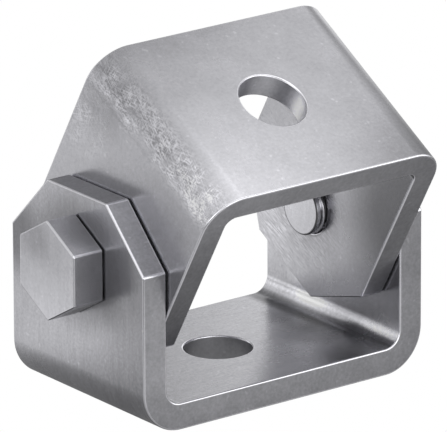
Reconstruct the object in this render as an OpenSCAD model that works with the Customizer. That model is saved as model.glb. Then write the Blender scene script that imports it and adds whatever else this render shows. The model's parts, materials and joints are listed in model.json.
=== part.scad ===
// Universal hinge bracket: a swivel yoke nested in a base yoke, on two hexagon screws.
// Millimetres. X is the hinge axis, +Z points up from the base, the viewer's side is -Y.
// The origin is the centre of the fixing hole, at the underside of the base.

/* [Base yoke] */
// Width over the outer faces of the two ears
base_width = 50; // [44:0.5:70]
// Width of the strip that the base is bent from
base_depth = 31.5; // [29:0.5:40]
// Thickness of the base's strip
base_sheet = 4; // [3:0.25:5]
// Inner radius of the base's two bends
base_bend = 2.5; // [1:0.25:4]
// Height of an ear's flat top above the pivot axis
base_ear_rise = 10.7; // [9:0.1:14]
// Side of the square that each cropped ear corner takes away
base_ear_crop = 8.7; // [4:0.1:11]
// Diameter of the fixing hole in the base
base_hole = 10; // [6:0.5:14]

/* [Swivel yoke] */
// Width of the strip that the swivel is bent from
swivel_depth = 31.5; // [29:0.5:34]
// Thickness of the swivel's strip
swivel_sheet = 4; // [3:0.25:5]
// Inner radius of the swivel's two bends
swivel_bend = 1.5; // [1:0.25:4]
// Height of the swivel's outer face above the pivot axis
swivel_height = 26.1; // [24:0.1:34]
// Length of a leg below the pivot axis
swivel_leg_drop = 12; // [9:0.1:14]
// Side of the square that each cropped leg corner takes away
swivel_leg_crop = 8.7; // [4:0.1:11]
// Diameter of the fixing hole in the swivel
swivel_hole = 10; // [6:0.5:14]
// Tilt of the swivel towards the viewer, from upright
swivel_tilt = 30; // [-90:5:90]

/* [Pivot screws] */
// Major diameter of the screw's thread
screw_size = 8; // [6:1:10]
// Width across the flats of the hexagon head
screw_head_flats = 13; // [10:1:16]
// Height of the head, with its bearing face
screw_head_height = 5.3; // [4:0.1:7]
// Height of the round bearing face under the hexagon
screw_face_height = 0.25; // [0.1:0.05:0.6]
// Step from the hexagon's flats in to the round bearing face
screw_face_step = 0.7; // [0.3:0.1:1.5]
// How far a screw's tip stands out inside the swivel's leg
screw_tip_reach = 1.75; // [0.5:0.25:3]
// Chamfer at the screw's tip
screw_tip_chamfer = 0.4; // [0.1:0.1:0.5]

/* [Fits] */
// Gap between each leg of the swivel and the ear beside it
side_gap = 0.25; // [0.1:0.05:1]
// Gap between the swinging legs and the base's inner bend
swing_gap = 0.5; // [0.3:0.1:3]
// Radial play of a screw in the ear's hole
ear_play = 0.08; // [0.02:0.02:0.1]
// Radial play between a screw and the leg's tapped hole
thread_play = 0.03; // [0.01:0.01:0.08]

/* [Hidden] */
$fn = 96;
// How far a cutter runs past the face that it opens
cut_margin = 1;

base_ear_inner_x = base_width / 2 - base_sheet;
swivel_width = 2 * (base_ear_inner_x - side_gap);

// The farthest corner of a leg from the pivot axis sets how high the pivot stands
leg_shoulder_drop = swivel_leg_drop - swivel_leg_crop;
leg_end_half = swivel_depth / 2 - swivel_leg_crop;
leg_swing = max(norm([swivel_depth / 2, leg_shoulder_drop]), norm([leg_end_half, swivel_leg_drop]));

// Height of the base's inner bend above its floor, where the leg's outer face passes it
bend_reach = max(0, base_bend - side_gap);
bend_rise = base_bend - sqrt(pow(base_bend, 2) - pow(bend_reach, 2));
pivot_height = base_sheet + bend_rise + leg_swing + swing_gap;

screw_radius = screw_size / 2;
screw_face_radius = screw_head_flats / 2 - screw_face_step;
screw_length = base_sheet + side_gap + swivel_sheet + screw_tip_reach;

// Rectangle that stands on y = 0, with its two lower corners rounded
module rounded_foot(width, height, radius) {
    translate([-width / 2, radius])
        square([width, height - radius]);
    translate([radius - width / 2, 0])
        square([width - 2 * radius, radius]);
    for (side = [-1, 1])
        translate([side * (width / 2 - radius), radius])
            circle(r = radius);
}

// Cross-section of a strip bent into a U that opens upwards
module bent_profile(width, height, sheet, bend) {
    difference() {
        rounded_foot(width, height, bend + sheet);
        translate([0, sheet])
            rounded_foot(width - 2 * sheet, height, bend);
    }
}

// Side view of a leg, with the two corners of its free end cropped
module leg_outline(depth, height, crop) {
    polygon([
        [-depth / 2, 0],
        [depth / 2, 0],
        [depth / 2, height - crop],
        [depth / 2 - crop, height],
        [crop - depth / 2, height],
        [-depth / 2, height - crop]
    ]);
}

// Bent strip with its outer face on z = 0 and its two legs pointing up
module yoke(width, depth, height, sheet, bend, crop, axle_height, axle_radius, hole) {
    difference() {
        intersection() {
            rotate([90, 0, 0])
                linear_extrude(height = depth, center = true)
                    bent_profile(width, height, sheet, bend);
            rotate([90, 0, 90])
                linear_extrude(height = width, center = true)
                    leg_outline(depth, height, crop);
        }
        translate([0, 0, axle_height])
            rotate([0, 90, 0])
                cylinder(h = width + 2 * cut_margin, r = axle_radius, center = true);
        translate([0, 0, -cut_margin])
            cylinder(h = sheet + 2 * cut_margin, d = hole);
    }
}

// Hexagon screw with its head's seat on x = 0 and its shank along +X
module hexagon_screw() {
    rotate([0, 90, 0]) {
        translate([0, 0, -screw_head_height])
            cylinder(h = screw_head_height - screw_face_height, d = screw_head_flats / cos(30), $fn = 6);
        rotate_extrude()
            polygon([
                [0, -screw_face_height],
                [screw_face_radius, -screw_face_height],
                [screw_face_radius, 0],
                [screw_radius, 0],
                [screw_radius, screw_length - screw_tip_chamfer],
                [screw_radius - screw_tip_chamfer, screw_length],
                [0, screw_length]
            ]);
    }
}

module base_yoke() {
    color("Silver")
        yoke(
            width = base_width,
            depth = base_depth,
            height = pivot_height + base_ear_rise,
            sheet = base_sheet,
            bend = base_bend,
            crop = base_ear_crop,
            axle_height = pivot_height,
            axle_radius = screw_radius + ear_play,
            hole = base_hole
        );
}

// The swivel is the same kind of bent strip, turned over and hung on the pivot axis
module swivel_yoke() {
    color("LightGray")
        translate([0, 0, pivot_height])
            rotate([swivel_tilt, 0, 0])
                translate([0, 0, swivel_height])
                    mirror([0, 0, 1])
                        yoke(
                            width = swivel_width,
                            depth = swivel_depth,
                            height = swivel_height + swivel_leg_drop,
                            sheet = swivel_sheet,
                            bend = swivel_bend,
                            crop = swivel_leg_crop,
                            axle_height = swivel_height,
                            axle_radius = screw_radius + thread_play,
                            hole = swivel_hole
                        );
}

module left_pivot_screw() {
    color("Gainsboro")
        translate([-base_width / 2, 0, pivot_height])
            hexagon_screw();
}

module right_pivot_screw() {
    color("Gainsboro")
        translate([base_width / 2, 0, pivot_height])
            rotate([0, 0, 180])
                hexagon_screw();
}

base_yoke();
swivel_yoke();
left_pivot_screw();
right_pivot_screw();
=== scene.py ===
import json
import math

import bmesh
import bpy
from mathutils import Matrix, Vector


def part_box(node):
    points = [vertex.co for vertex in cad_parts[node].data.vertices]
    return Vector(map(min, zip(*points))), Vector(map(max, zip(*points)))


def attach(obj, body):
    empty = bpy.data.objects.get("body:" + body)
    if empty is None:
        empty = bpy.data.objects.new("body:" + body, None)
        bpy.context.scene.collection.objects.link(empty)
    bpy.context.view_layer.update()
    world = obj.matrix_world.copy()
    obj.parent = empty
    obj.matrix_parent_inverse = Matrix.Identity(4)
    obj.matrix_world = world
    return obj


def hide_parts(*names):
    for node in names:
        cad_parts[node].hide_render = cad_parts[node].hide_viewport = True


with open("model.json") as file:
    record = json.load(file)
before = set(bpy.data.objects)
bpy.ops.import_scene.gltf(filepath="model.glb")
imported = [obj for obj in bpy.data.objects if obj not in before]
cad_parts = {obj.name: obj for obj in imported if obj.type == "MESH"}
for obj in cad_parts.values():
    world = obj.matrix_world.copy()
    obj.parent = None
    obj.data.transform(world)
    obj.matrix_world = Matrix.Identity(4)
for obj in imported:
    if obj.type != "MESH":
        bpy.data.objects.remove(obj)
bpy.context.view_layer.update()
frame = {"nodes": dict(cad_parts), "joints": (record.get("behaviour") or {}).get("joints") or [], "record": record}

MM = 0.001

# Sides of the round faces
ROUND_STEPS = 96

# Sizes taken from the frame
base_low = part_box("base_yoke")[0]
swivel_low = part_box("swivel_yoke")[0]
left_low, left_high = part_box("left_pivot_screw")
mounts = {mount["name"]: mount for mount in frame["record"]["mounts"]}
tilt_joint = next(joint for joint in frame["joints"] if joint["name"] == "swivel_tilt")
pivot = Vector(tilt_joint["pos_m"])
swivel_up = Vector(mounts["swivel_hole"]["axis"])
swivel_tilt = math.atan2(-swivel_up.y, swivel_up.z)
swivel_height = (Vector(mounts["swivel_hole"]["pos_m"]) - pivot).length

# Screw's head: the frame gives its outer sizes
HEAD_FACE_HEIGHT = 0.2 * MM
HEAD_FACE_STEP = 0.7 * MM
HEAD_EDGE = 0.22 * MM
head_seat = base_low.x
head_height = head_seat - left_low.x
head_flats = left_high.y - left_low.y
head_corner_radius = head_flats / 2 / math.cos(math.pi / 6)
screw_length = left_high.x - head_seat

# Thread, with its root and flank as shares of the pitch
THREAD_RADIUS = 4 * MM
THREAD_PITCH = 1.25 * MM
THREAD_DEPTH = 0.6134 * THREAD_PITCH
THREAD_FADE = 0.25 * THREAD_PITCH
ROOT_HALF_SHARE = 1 / 8
FLANK_SHARE = 5 / 16
FLANK_ROUNDING = 0.35
THREAD_STEPS_ROUND = 72
THREAD_STEPS_PITCH = 14
# Thread roots deeper than this are near black: painted shade in the grooves
GROOVE_SHADE_DEPTH = 0.35 * MM

# Screw's tip
TIP_BAND = 0.75 * MM
TIP_CHAMFER = 0.15 * MM
TIP_RIM = 0.13 * MM
GROOVE_FROM_TIP = 1.05 * MM

# Yokes' edges, and how the faces with a finish of their own are told apart
EDGE_RADIUS = 0.26 * MM
EDGE_SEGMENTS = 3
EDGE_ANGLE = math.radians(30)
FLAT_ANGLE = math.radians(0.4)
WELD_REACH = 0.002 * MM
FIXING_HOLE_RADIUS = 5 * MM
FIXING_HOLE_REACH = 0.5 * MM
WALL_NORMAL_Z = 0.5
CUT_NORMAL_Y = 0.3
END_NORMAL_X = 0.02
END_FACE_X = 16 * MM


# Camera, solved from the photograph

PICTURE_WIDTH = 447
SENSOR_WIDTH = 36
FOCAL_LENGTH_PX = 7500
CAMERA_AZIMUTH = -37.18
CAMERA_ELEVATION = 18.51
CAMERA_ROLL = math.radians(-0.24)
CAMERA_DISTANCE = 1.077
CAMERA_AIM = Vector((0.0011, 0.0, 0.0237))
CAMERA_NEAREST = 0.05
CAMERA_FARTHEST = 20


def direction(azimuth, elevation):
    """Unit vector that points away from the object; azimuth 0 is the side of -Y, in degrees."""
    a, e = math.radians(azimuth), math.radians(elevation)
    return Vector((math.sin(a) * math.cos(e), -math.cos(a) * math.cos(e), math.sin(e)))


def make_camera():
    """Camera that takes the photograph's view."""
    back = direction(CAMERA_AZIMUTH, CAMERA_ELEVATION)
    right = Vector((-back.y, back.x, 0)).normalized()
    up = back.cross(right)
    rolled_right = right * math.cos(CAMERA_ROLL) + up * math.sin(CAMERA_ROLL)
    rolled_up = up * math.cos(CAMERA_ROLL) - right * math.sin(CAMERA_ROLL)
    data = bpy.data.cameras.new("photo_camera")
    data.sensor_width = SENSOR_WIDTH
    data.lens = FOCAL_LENGTH_PX / PICTURE_WIDTH * SENSOR_WIDTH
    data.clip_start = CAMERA_NEAREST
    data.clip_end = CAMERA_FARTHEST
    camera = bpy.data.objects.new("photo_camera", data)
    turn = Matrix((rolled_right, rolled_up, back)).transposed()
    camera.matrix_world = Matrix.Translation(CAMERA_AIM + back * CAMERA_DISTANCE) @ turn.to_4x4()
    bpy.context.scene.collection.objects.link(camera)
    bpy.context.scene.camera = camera


# Shader helpers

# Sockets of the colour mix node, which share their names with those of its other kinds
MIX_FACTOR, MIX_LOW, MIX_HIGH, MIX_RESULT = 0, 6, 7, 2

BLACK = (0, 0, 0, 1)
BLUE_CAST = 0.05
GREEN_DROP = 0.05


def grey(value, tint=BLUE_CAST):
    """Neutral colour with a slight blue cast."""
    return (value, value * (1 - GREEN_DROP * tint), value * (1 + tint), 1)


class Nodes:
    """Short names for the few shader nodes that the materials use."""

    def __init__(self, tree):
        self.tree = tree
        tree.nodes.clear()

    def add(self, kind, **values):
        """New node, with its settings."""
        node = self.tree.nodes.new(kind)
        for name, value in values.items():
            setattr(node, name, value)
        return node

    def link(self, source, target):
        self.tree.links.new(source, target)

    def feed(self, socket, value):
        """Links a socket, or sets a plain value on it."""
        if isinstance(value, bpy.types.NodeSocket):
            self.link(value, socket)
        else:
            socket.default_value = value

    def math(self, operation, *values):
        """Sum, product or other operation on sockets and plain numbers."""
        node = self.add("ShaderNodeMath", operation=operation)
        for socket, value in zip(node.inputs, values):
            self.feed(socket, value)
        return node.outputs[0]

    def fold(self, operation, values):
        """One operation over any number of values."""
        result = values[0]
        for value in values[1:]:
            result = self.math(operation, result, value)
        return result

    def vector(self, operation, first, second):
        """Vector operation with a fixed second vector."""
        node = self.add("ShaderNodeVectorMath", operation=operation)
        self.link(first, node.inputs[0])
        node.inputs[1].default_value = second
        return node.outputs["Vector" if operation == "SUBTRACT" else "Value"]

    def mapped(self, vector, scale=(1, 1, 1), turn=(0, 0, 0), shift=(0, 0, 0)):
        """Vector that is scaled, then turned, then shifted."""
        node = self.add("ShaderNodeMapping")
        self.link(vector, node.inputs["Vector"])
        node.inputs["Location"].default_value = shift
        node.inputs["Rotation"].default_value = turn
        node.inputs["Scale"].default_value = scale
        return node.outputs[0]

    def noise(self, vector, scale, detail, roughness=0.5):
        """Noise from zero to one."""
        node = self.add("ShaderNodeTexNoise")
        self.link(vector, node.inputs["Vector"])
        node.inputs["Scale"].default_value = scale
        node.inputs["Detail"].default_value = detail
        node.inputs["Roughness"].default_value = roughness
        return node.outputs["Fac"]

    def swing(self, vector, **noise):
        """Noise around zero."""
        return self.math("SUBTRACT", self.noise(vector, **noise), 0.5)

    def fade(self, value, low, high):
        """Smooth step from zero where the value is low to one where it is high."""
        node = self.add("ShaderNodeMapRange", interpolation_type="SMOOTHSTEP")
        self.link(value, node.inputs["Value"])
        node.inputs["From Min"].default_value = low
        node.inputs["From Max"].default_value = high
        return node.outputs[0]

    def lit(self, color, level):
        """Colour times a level, which may be above one."""
        node = self.add("ShaderNodeMix", data_type="RGBA", clamp_factor=False)
        self.link(level, node.inputs[MIX_FACTOR])
        node.inputs[MIX_LOW].default_value = BLACK
        node.inputs[MIX_HIGH].default_value = color
        return node.outputs[MIX_RESULT]

    def mix(self, share, low, high):
        """Shader that goes from the low one to the high one with the share."""
        node = self.add("ShaderNodeMixShader")
        for socket, source in zip(node.inputs, (share, low, high)):
            self.link(source, socket)
        return node.outputs[0]

    def output(self, shader, kind="ShaderNodeOutputMaterial"):
        """Makes a shader the result of the tree."""
        self.link(shader, self.add(kind).inputs["Surface"])


def new_material(name):
    """Empty material and its nodes."""
    material = bpy.data.materials.new(name)
    material.use_nodes = True
    return material, Nodes(material.node_tree)


# Studio

WORLD_SOFT = 0.8
WORLD_WHITE = 1.0
FLOOR_COLOR = 0.9
FLOOR_RADIUS = 1.6
FLOOR_DROP = 0.05 * MM
TENT_RADIUS = 0.16
TENT_BASE = 0.3
TENT_SEGMENTS = 64
TENT_RINGS = 32
GROUND_BASE = 0.15
GROUND_SHARE = 0.999

# Distances from the object between which reflections begin to show the floor as white
FLOOR_FADE = (0.15, 0.35)

# Soft lights on the tent around the object: place in mm, width in mm, level
TENT_LIGHTS = {
    "over_plate": ((55, -28, 147), 26, 1.75),
    "right_of_plate": ((88, 22, 132), 26, 0.7),
    "over_bend": ((10, -42, 153), 34, 1.2),
    "left_of_bend": ((-45, -48, 146), 36, 0.9),
    "high_left": ((-95, -30, 123), 42, 0.5),
    "low_left": ((-130, 85, 45), 55, 0.5),
    "high_behind": ((-30, 125, 90), 30, 0.6),
    "dim_behind": ((66, 128, 90), 22, -0.22),
    "right_high": ((112, 10, 92), 28, 0.35),
    "behind_left_low": ((-60, 142, 39), 25, 1.3),
    "behind_right": ((112, 103, 50), 45, 1.15),
    "right_behind": ((122, 70, 66), 20, 0.6),
    "dark_horizon": ((95, 128, 0), 30, -0.5),
    "front": ((0, -155, 40), 60, 2.0),
    "front_right": ((110, -110, 50), 60, 1.8),
    "front_left": ((-140, -60, 50), 60, 1.6),
}

# Bright and dim places on the ground that the upright faces reflect
GROUND_LIGHTS = {
    "behind_left": ((-60, 62, 0), 55, 0.65),
    "far_behind_left": ((-95, 100, 0), 30, 0.6),
    "near_left": ((-43, 24, 0), 15, 0.4),
    "far_behind": ((-68, 126, 0), 20, 0.9),
    "behind": ((-5, 58, 0), 32, 0.85),
    "close_behind": ((5, 28, 0), 14, 0.25),
    "dim_middle": ((-27, 43, 0), 12, -0.5),
    "dim_left": ((-73, 67, 0), 18, -0.5),
    "dim_under_front": ((-25, -8, 0), 14, -0.2),
    "dim_under_back": ((-25, 18, 0), 14, -0.3),
    "front": ((-10, -50, 0), 45, 0.4),
    "front_right": ((38, -38, 0), 20, 0.15),
}


def background(n, level):
    """Even grey light from all round."""
    node = n.add("ShaderNodeBackground")
    node.inputs["Color"].default_value = grey(level, tint=0)
    return node.outputs[0]


def white_world():
    """White for every ray that shows the background, and a soft light for the rest."""
    world = bpy.data.worlds.new("white_world")
    bpy.context.scene.world = world
    world.use_nodes = True
    n = Nodes(world.node_tree)
    path = n.add("ShaderNodeLightPath").outputs
    seen = n.fold("MAXIMUM", [path["Is Camera Ray"], path["Is Glossy Ray"], path["Is Transmission Ray"]])
    shown = n.mix(seen, background(n, WORLD_SOFT), background(n, WORLD_WHITE))
    n.output(shown, kind="ShaderNodeOutputWorld")


def make_floor():
    """White floor for the camera, and for reflections far from the object; pale elsewhere."""
    bpy.ops.mesh.primitive_circle_add(
        vertices=ROUND_STEPS, radius=FLOOR_RADIUS, fill_type="NGON", location=(0, 0, -FLOOR_DROP)
    )
    floor = bpy.context.object
    floor.name = "floor"
    material, n = new_material("pale_floor")
    where = n.add("ShaderNodeTexCoord").outputs["Object"]
    far = n.fade(n.vector("DISTANCE", where, (0, 0, 0)), *FLOOR_FADE)
    path = n.add("ShaderNodeLightPath").outputs
    reflected = n.math("MAXIMUM", path["Is Glossy Ray"], path["Is Transmission Ray"])
    seen = n.math("MAXIMUM", path["Is Camera Ray"], n.math("MULTIPLY", reflected, far))
    pale = n.add("ShaderNodeBsdfDiffuse")
    pale.inputs["Color"].default_value = grey(FLOOR_COLOR)
    white = n.add("ShaderNodeEmission")
    n.output(n.mix(seen, pale.outputs[0], white.outputs[0]))
    floor.data.materials.append(material)


def make_cloth(name, base, lights):
    """Turns the active object into a softly glowing cloth that only reflections see."""
    cloth = bpy.context.object
    cloth.name = name
    material, n = new_material(name)
    where = n.add("ShaderNodeTexCoord").outputs["Object"]
    level = base
    for place, width, strength in lights.values():
        away = n.vector("DISTANCE", where, [c * MM for c in place])
        reach = n.math("DIVIDE", away, width * MM)
        fall = n.math("EXPONENT", n.math("MULTIPLY", n.math("POWER", reach, 2.0), -1.0))
        level = n.math("MULTIPLY_ADD", fall, strength, level)
    glow = n.add("ShaderNodeEmission")
    n.link(n.math("MAXIMUM", level, 0.0), glow.inputs["Strength"])
    n.output(glow.outputs[0])
    cloth.data.materials.append(material)
    cloth.visible_camera = False
    cloth.visible_diffuse = False
    cloth.visible_shadow = False


def make_tent():
    """Glowing tent and ground around the object."""
    bpy.ops.mesh.primitive_uv_sphere_add(segments=TENT_SEGMENTS, ring_count=TENT_RINGS, radius=TENT_RADIUS)
    make_cloth("light_tent", TENT_BASE, TENT_LIGHTS)
    bpy.ops.mesh.primitive_circle_add(
        vertices=TENT_SEGMENTS, radius=TENT_RADIUS * GROUND_SHARE, fill_type="NGON"
    )
    make_cloth("ground_cloth", GROUND_BASE, GROUND_LIGHTS)


# Steel

METAL_SHARE = 0.94
GRAZING_TINT = 0.8
BUMP_STRENGTH = 0.3
BUMP_DEPTH = 0.008 * MM

# Noise in the steel, and how much each kind changes the colour, the roughness or the relief
CLOUD_NOISE = {"scale": 140, "detail": 4, "roughness": 0.55}
DRAWN_NOISE = {"scale": 1500, "detail": 3, "roughness": 0.6}
GRAIN_NOISE = {"scale": 2200, "detail": 3, "roughness": 0.6}
SPECK_NOISE = {"scale": 1100, "detail": 1}
SPECK_LEVELS = (0.70, 0.78)
DRAWN_STRETCH = (0.15, 1, 0.15)
CLOUD_CHANGE = 0.25
DRAWN_CHANGE = 0.18
GRAIN_CHANGE = 0.30
SPECK_CHANGE = 0.15
CLOUD_ROUGHNESS = 0.12
DRAWN_HEIGHT = 5

# Edges that face down and back are darkened with painted shade: the direction, and the facing between which they
# turn so
SHADED_SIDE = (0, 0.5, -0.87)
SHADED_FACING = (0.1, 0.35)
SHADED_SHARE = 0.8

# Rub marks: patches of thin crossed scratches, with the noise levels between which each kind shows
PATCH_NOISE = {"scale": 300, "detail": 2}
PATCH_LEVELS = (0.35, 0.6)
PATCH_SHARE = 0.7
HATCH_NOISE = {"scale": 7500, "detail": 0}
HATCH_STRETCH = (1, 0.1, 1)
HATCH_SHIFT = 0.02
LIGHT_LEVELS = (0.56, 0.70)
DARK_LEVELS = (0.42, 0.28)
DARK_SHARE = 0.5
RUB_LIFT = 0.1

# Squash that draws a spot out along the whole strip
ALONG_STRIP = (1, 0.001, 1)

# Axes of a piece that stands as it is modelled: origin, and turn about X
UPRIGHT = {"origin": (0, 0, 0), "turn": 0.0}


def spot(place, inner, outer, share, squash=(1, 1, 1), lean=0, angles=()):
    """Place of painted shade, a painted highlight or a rub, which is full within its inner reach and gone at its
    outer one.

    Place and reach are in mm. Scratches lie in a plane that leans about Y, at angles from Y, in degrees.
    """
    return {
        "place": place,
        "inner": inner,
        "outer": outer,
        "share": share,
        "squash": squash,
        "lean": math.radians(lean),
        "angles": [math.radians(angle) for angle in angles],
    }


def near(n, where, mark):
    """One close to the spot, falling to zero between its inner and outer reach."""
    place = [c * MM * s for c, s in zip(mark["place"], mark["squash"])]
    away = n.vector("DISTANCE", n.mapped(where, scale=mark["squash"]), place)
    return n.fade(away, mark["outer"] * MM, mark["inner"] * MM)


def dimmed(n, level, mask, share):
    """Level that is darker by the share where the mask is one."""
    return n.math("MULTIPLY", level, n.math("MULTIPLY_ADD", mask, -share, 1.0))


def hatch(n, where, angle, shift):
    """Noise in fine short lines along the direction that lies at an angle from Y towards Z."""
    along = n.mapped(where, turn=(-angle, 0, 0), shift=(shift, 0, shift))
    return n.noise(n.mapped(along, scale=HATCH_STRETCH), **HATCH_NOISE)


def rub_marks(n, where, rub):
    """Crossed scratches, lighter and darker than the steel around them."""
    patchy = n.fade(n.noise(where, **PATCH_NOISE), *PATCH_LEVELS)
    patchy = n.math("MULTIPLY_ADD", patchy, PATCH_SHARE, 1 - PATCH_SHARE)
    mask = n.math("MULTIPLY", near(n, where, rub), patchy)
    flat = n.mapped(where, turn=(0, rub["lean"], 0))
    lines = [hatch(n, flat, angle, HATCH_SHIFT * i) for i, angle in enumerate(rub["angles"])]
    light = n.fade(n.fold("MAXIMUM", lines), *LIGHT_LEVELS)
    dark = n.fade(n.fold("MINIMUM", lines), *DARK_LEVELS)
    change = n.math("SUBTRACT", n.math("ADD", light, RUB_LIFT), n.math("MULTIPLY", dark, DARK_SHARE))
    return n.math("MULTIPLY", n.math("MULTIPLY", mask, change), rub["share"])


def metal(n, color, roughness, height):
    """Metal shader with a fine relief."""
    bump = n.add("ShaderNodeBump")
    bump.inputs["Strength"].default_value = BUMP_STRENGTH
    bump.inputs["Distance"].default_value = BUMP_DEPTH
    n.link(height, bump.inputs["Height"])
    shader = n.add("ShaderNodeBsdfPrincipled")
    shader.inputs["Metallic"].default_value = METAL_SHARE
    shader.inputs["Specular Tint"].default_value = grey(GRAZING_TINT, tint=0)
    n.link(color, shader.inputs["Base Color"])
    n.link(roughness, shader.inputs["Roughness"])
    n.link(bump.outputs[0], shader.inputs["Normal"])
    return shader.outputs[0]


def steel(
    name,
    tone,
    roughness,
    grit=1.0,
    streaks=DRAWN_CHANGE,
    rubs=None,
    painted_light=None,
    own_axes=UPRIGHT,
    shade_down_back=False,
):
    """Zinc-plated steel: clouded, grained and drawn out along Y, with rubs, painted shade and painted highlights
    at their spots.

    The spots are placed from the origin of the piece's own axes, which are turned about X.
    """
    material, n = new_material(name)
    texture = n.add("ShaderNodeTexCoord").outputs
    where = n.vector("SUBTRACT", texture["Object"], own_axes["origin"])
    where = n.mapped(where, turn=(-own_axes["turn"], 0, 0))
    cloud = n.swing(where, **CLOUD_NOISE)
    drawn = n.swing(n.mapped(where, scale=DRAWN_STRETCH), **DRAWN_NOISE)
    grain = n.swing(where, **GRAIN_NOISE)
    specks = n.fade(n.noise(where, **SPECK_NOISE), *SPECK_LEVELS)
    level = n.math("MULTIPLY_ADD", cloud, CLOUD_CHANGE, 1.0)
    level = n.math("MULTIPLY_ADD", drawn, streaks * grit, level)
    level = n.math("MULTIPLY_ADD", grain, GRAIN_CHANGE * grit, level)
    level = n.math("MULTIPLY_ADD", specks, SPECK_CHANGE, level)
    height = n.math("MULTIPLY_ADD", drawn, DRAWN_HEIGHT * streaks, grain)
    for rub in (rubs or {}).values():
        marks = rub_marks(n, where, rub)
        level = n.math("ADD", level, marks)
        height = n.math("ADD", height, marks)
    # Painted shade, or a painted highlight where the share is negative
    for shade in (painted_light or {}).values():
        level = dimmed(n, level, near(n, where, shade), shade["share"])
    # Painted shade on faces that face down and back
    if shade_down_back:
        facing = n.vector("DOT_PRODUCT", texture["Normal"], SHADED_SIDE)
        level = dimmed(n, level, n.fade(facing, *SHADED_FACING), SHADED_SHARE)
    rough = n.math("MULTIPLY_ADD", cloud, CLOUD_ROUGHNESS, roughness)
    n.output(metal(n, n.lit(grey(tone), level), rough, height))
    return material


# Yokes

# Material slots of a yoke, in order
FACE, CUT, EDGE, BORE = range(4)


def yoke_finish(normal, place):
    """Material slot of a yoke's face, from its normal and its place in the upright yoke's axes."""
    if place.xy.length < FIXING_HOLE_RADIUS + FIXING_HOLE_REACH:
        return BORE if abs(normal.z) < WALL_NORMAL_Z else FACE
    if abs(normal.y) > CUT_NORMAL_Y:
        return CUT
    if abs(normal.x) < END_NORMAL_X and abs(place.x) > END_FACE_X:
        return CUT
    return FACE


def round_edges(item):
    """Merges a yoke's flat faces and rounds its sharp edges."""
    weld = item.modifiers.new("weld", "WELD")
    weld.merge_threshold = WELD_REACH
    flat = item.modifiers.new("flat_faces", "DECIMATE")
    flat.decimate_type = "DISSOLVE"
    flat.angle_limit = FLAT_ANGLE
    flat.delimit = {"MATERIAL"}
    bevel = item.modifiers.new("broken_edges", "BEVEL")
    bevel.width = EDGE_RADIUS
    bevel.segments = EDGE_SEGMENTS
    bevel.limit_method = "ANGLE"
    bevel.angle_limit = EDGE_ANGLE
    bevel.material = EDGE
    shading = item.modifiers.new("even_shading", "WEIGHTED_NORMAL")
    shading.mode = "FACE_AREA"
    shading.keep_sharp = False


def dress_yoke(node, face, cut, edge, bore, turn):
    """Gives a bent yoke its finishes and rounds its edges."""
    item = frame["nodes"][node]
    mesh = item.data
    mesh.materials.clear()
    for material in (face, cut, edge, bore):
        mesh.materials.append(material)
    back_turn = Matrix.Rotation(-turn, 3, "X")
    for polygon in mesh.polygons:
        place = back_turn @ (polygon.center - pivot)
        polygon.material_index = yoke_finish(back_turn @ polygon.normal, place)
    round_edges(item)


# Screws

# Material slots of a screw, in order, after the first, which the head's faces keep
HEAD_RIM, SHANK, GROOVE_SHADE = range(1, 4)


def clamped(value):
    """Value kept between zero and one."""
    return min(1.0, max(0.0, value))


def thread_radius(turn, x):
    """Radius of the thread's profile at an angle round the screw and a distance from its seat."""
    from_tip = screw_length - x
    phase = ((from_tip - GROOVE_FROM_TIP) / THREAD_PITCH + turn / (2 * math.pi)) % 1.0
    from_groove = min(phase, 1 - phase)
    rise = clamped((from_groove - ROOT_HALF_SHARE) / FLANK_SHARE)
    flank = rise * rise * (3 - 2 * rise) * FLANK_ROUNDING + rise * (1 - FLANK_ROUNDING)
    fade = clamped((from_tip - TIP_BAND) / THREAD_FADE)
    radius = THREAD_RADIUS - THREAD_DEPTH * (1 - flank) * fade
    return min(radius, THREAD_RADIUS - max(0.0, TIP_CHAMFER - from_tip))


def add_head(mesh):
    """Hexagon with rounded edges, which ends where the bearing face starts."""
    prism = head_height - HEAD_FACE_HEIGHT
    bmesh.ops.create_cone(
        mesh, cap_ends=True, segments=6, radius1=head_corner_radius, radius2=head_corner_radius, depth=prism
    )
    bmesh.ops.rotate(mesh, verts=mesh.verts, matrix=Matrix.Rotation(math.pi / 6, 3, "Z"))
    bmesh.ops.bevel(
        mesh,
        geom=mesh.edges[:],
        offset=HEAD_EDGE,
        segments=EDGE_SEGMENTS,
        profile=0.5,
        affect="EDGES",
        material=HEAD_RIM,
    )
    bmesh.ops.translate(mesh, verts=mesh.verts, vec=(0, 0, -HEAD_FACE_HEIGHT - prism / 2))


def add_bearing_face(mesh):
    """Thin round face under the hexagon, on the seat."""
    radius = head_flats / 2 - HEAD_FACE_STEP
    seat = bmesh.ops.create_cone(
        mesh, cap_ends=True, segments=ROUND_STEPS, radius1=radius, radius2=radius, depth=HEAD_FACE_HEIGHT
    )
    bmesh.ops.translate(mesh, verts=seat["verts"], vec=(0, 0, -HEAD_FACE_HEIGHT / 2))


def bridge(mesh, low, high):
    """Faces between two rings that have the same number of points."""
    pairs = list(zip(low, high))
    after = pairs[1:] + pairs[:1]
    return [mesh.faces.new((a, c, d, b)) for (a, b), (c, d) in zip(pairs, after)]


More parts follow.
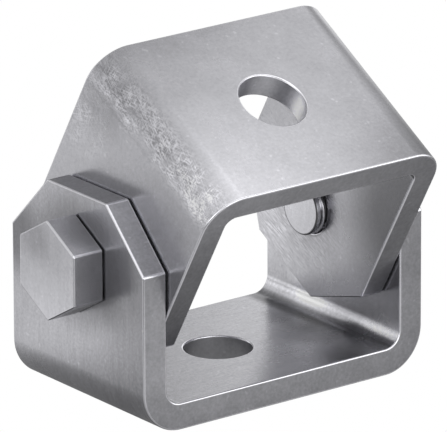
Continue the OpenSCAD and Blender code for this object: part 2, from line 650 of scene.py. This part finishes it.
def add_shank(mesh):
    """Threaded shank, as a grid of rings, with a rim round its end face."""
    rows = round(screw_length / THREAD_PITCH * THREAD_STEPS_PITCH)
    grid = []
    for row in range(rows + 1):
        x = screw_length * row / rows
        ring = []
        for step in range(THREAD_STEPS_ROUND):
            turn = 2 * math.pi * step / THREAD_STEPS_ROUND
            radius = thread_radius(turn, x)
            ring.append(mesh.verts.new((radius * math.cos(turn), radius * math.sin(turn), x)))
        grid.append(ring)
    for low, high in zip(grid, grid[1:]):
        for face, start, end in zip(bridge(mesh, low, high), low, high):
            # Thread grooves and the tip's chamfer get near-black painted shade
            root = start.co.xy.length < THREAD_RADIUS - GROOVE_SHADE_DEPTH
            chamfer = end.co.z > screw_length - TIP_CHAMFER
            face.material_index = GROOVE_SHADE if root or chamfer else SHANK
            face.smooth = True
    mesh.faces.new(list(reversed(grid[0])))
    inside = 1 - TIP_RIM / THREAD_RADIUS
    rim = [mesh.verts.new((v.co.x * inside, v.co.y * inside, v.co.z)) for v in grid[-1]]
    # The rim round the end face gets near-black painted shade, a dark outline round the tip
    for face in bridge(mesh, grid[-1], rim):
        face.material_index = GROOVE_SHADE
    mesh.faces.new(rim).material_index = SHANK


def screw_mesh(name):
    """Hexagon screw with its seat on x = 0 and its shank along +X."""
    shape = bmesh.new()
    add_head(shape)
    add_bearing_face(shape)
    add_shank(shape)
    bmesh.ops.rotate(shape, verts=shape.verts, matrix=Matrix.Rotation(math.pi / 2, 3, "Y"))
    mesh = bpy.data.meshes.new(name)
    shape.to_mesh(mesh)
    shape.free()
    return mesh


def make_screw(name, node, body, side, materials):
    """Screw on the left, side -1, or on the right, side 1, in place of its CAD node."""
    mesh = screw_mesh(name)
    for material in materials:
        mesh.materials.append(material)
    screw = bpy.data.objects.new(name, mesh)
    bpy.context.scene.collection.objects.link(screw)
    screw.location = (side * abs(head_seat), 0, pivot.z)
    screw.rotation_euler = (0, 0, 0 if side < 0 else math.pi)
    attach(screw, body)
    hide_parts(node)


# Rubs, and painted shade and painted highlights

# Faces that they lie on, in mm. Both strips have the same width and thickness.
SHEET = 4
ear_outside = base_low.x / MM
ear_inside = -ear_outside - SHEET
leg_outside = swivel_low.x / MM
leg_inside = -leg_outside - SHEET
leg_middle = -leg_outside - SHEET / 2
front_cut = base_low.y / MM
pivot_rise = pivot.z / MM
plate_rise = swivel_height / MM
hole_wall = FIXING_HOLE_RADIUS / MM
head_end = -head_height / MM

# Line along the left bend of the swivel, where its rub is, from the outer faces beside it
BEND_RUB_INSET = 0.85
BEND_RUB_DROP = 2.5
bend_x = leg_outside + BEND_RUB_INSET
bend_z = plate_rise - BEND_RUB_DROP

# Spots: place, inner reach, outer reach and share. A negative share is brighter: outside the rubs, a positive
# share is painted shade and a negative one a painted highlight.
swivel_rubs = {
    "bend": spot((bend_x, 0, bend_z), 0.5, 4.2, 0.75, ALONG_STRIP, lean=-45, angles=(14, -20, 72)),
    "bend_front": spot((bend_x, -11, bend_z), 0.5, 4, 0.5, (1, 0.45, 1), lean=-45, angles=(5, -10, 82)),
    "left_leg": spot((leg_outside, 13, 15), 1, 8, 0.35, angles=(15, -40, 75)),
    "inside_right_leg": spot((leg_inside, 4, -2), 3, 16, 0.45, angles=(0, 7, -6)),
}
# Painted shade round and below the screw's head, on the ear's front and back, on the floor beside the right bend
# and inside the right ear's front; painted highlights along the right inner bend, low inside the right ear and at
# the floor's front corner
base_painted_light = {
    "round_head": spot((ear_outside, 0, pivot_rise), 7, 12, 0.3),
    "below_head": spot((ear_outside, -8, pivot_rise - 5), 1, 4, 0.15),
    "ear_front": spot((ear_outside, -12, pivot_rise - 2), 1, 14, 0.35),
    "ear_back": spot((ear_outside, 15, pivot_rise + 1), 2, 9, 0.45),
    "bend_painted_highlight": spot((ear_inside - 0.2, 0, SHEET + 1.4), 0.4, 1.3, -0.45, ALONG_STRIP),
    "bend_foot": spot((ear_inside - 2.9, 7, SHEET), 0.4, 2.0, 0.7, (1, 0.12, 1)),
    "floor_middle": spot((ear_inside - 5, 2, SHEET), 1, 4.5, 0.4, (1, 0.5, 1)),
    "floor_right": spot((ear_inside - 6, -4, SHEET), 2, 7, 0.45),
    "ear_foot_painted_highlight": spot((ear_inside, 5, SHEET + 4), 1.5, 7, -0.5),
    "corner_painted_highlight": spot((ear_inside - 2.5, -14, SHEET + 0.2), 3, 9, -0.4),
    "inside_ear_front": spot((ear_inside, -14, SHEET + 10), 4, 13, 0.3),
}
# Painted shade round the right screw's tip, with a dark painted ring beside it, inside the right leg's front and
# on the left leg's front, back and foot; a painted highlight at the front of the left bend
swivel_painted_light = {
    "round_tip": spot((leg_inside, 0, 0), 4, 10, 0.2),
    "beside_tip": spot((leg_inside, 0, 0), 4.2, 4.8, 0.4),
    "inside_leg_front": spot((leg_inside, -17, 14), 5, 18, 0.6),
    "leg_front": spot((leg_outside, -10, 6), 6, 14, 0.2),
    "leg_back": spot((leg_outside, 10, 20), 1, 7, 0.2),
    "bend_front_painted_highlight": spot((bend_x, -13, bend_z), 1, 9, -0.14),
    "leg_foot": spot((leg_outside, -6, -5), 3, 12, 0.35),
}
# Painted shade on the low parts of the legs' front cut faces
cut_painted_light = {
    "left_leg_foot": spot((-leg_middle, front_cut, 2), 8, 22, 0.4),
    "right_leg_foot": spot((leg_middle, front_cut, 8), 8, 20, 0.15),
}
# Painted shade on the head: its end face near the top and back, its lower front flat, nearly black there, and its
# upper front flat
head_painted_light = {
    "end_back": spot((head_end, 3, 4.5), 1, 5.5, 0.22),
    "underside": spot((-1.5, -4, -7), 2, 4.5, 0.75),
    "top": spot((-1, -3.5, 6.5), 2, 4.5, 0.3),
}
# Painted highlight on the wall of the swivel's fixing hole
wall_painted_light = {
    "wall_painted_highlight": spot((hole_wall, -1, plate_rise - 2.1), 1, 3.5, -0.5),
}

# The model

white_world()
make_camera()
make_floor()
make_tent()

swivel_axes = {"origin": pivot, "turn": swivel_tilt}
rolled = steel("rolled_steel", tone=0.54, roughness=0.26, grit=1.7, painted_light=base_painted_light)
rolled_swivel = steel(
    "rolled_swivel_steel",
    tone=0.54,
    roughness=0.26,
    grit=1.2,
    streaks=0.05,
    rubs=swivel_rubs,
    painted_light=swivel_painted_light,
    own_axes=swivel_axes,
)
# Cut and punched steel come as copies whose tones differ for how each yoke's faces are lit: painted shade makes
# the swivel's cut faces and the base's hole wall darker, and painted light makes the swivel's hole wall lighter
cut = steel("cut_steel", tone=0.46, roughness=0.34, grit=2.0)
shaded_cut_swivel = steel(
    "shaded_cut_swivel_steel", tone=0.40, roughness=0.34, grit=2.0, painted_light=cut_painted_light, own_axes=swivel_axes
)
# Bevels much lighter than the faces beside them: partly worn edges, partly painted highlight; those that face down
# and back get painted shade
edge = steel("edge_highlight_steel", tone=0.88, roughness=0.22, grit=0.5, shade_down_back=True)
bore = steel("punched_steel", tone=0.38, roughness=0.40, grit=1.5)
lit_bore_swivel = steel(
    "lit_punched_swivel_steel", tone=0.68, roughness=0.40, grit=1.5, painted_light=wall_painted_light, own_axes=swivel_axes
)
hexagon = steel("hexagon_steel", tone=0.69, roughness=0.24, painted_light=head_painted_light)
thread = steel("thread_steel", tone=0.66, roughness=0.25)
# Near-black steel for painted shade in the thread's grooves and round the tip
groove_shade = steel("groove_shade_steel", tone=0.16, roughness=0.35)

dress_yoke("base_yoke", rolled, cut, edge, bore, 0.0)
dress_yoke("swivel_yoke", rolled_swivel, shaded_cut_swivel, edge, lit_bore_swivel, swivel_tilt)
screw_materials = (hexagon, edge, thread, groove_shade)
make_screw("left_screw_shape", "left_pivot_screw", "left_screw", -1, screw_materials)
make_screw("right_screw_shape", "right_pivot_screw", "right_screw", 1, screw_materials)

bpy.context.scene.view_settings.view_transform = "Standard"
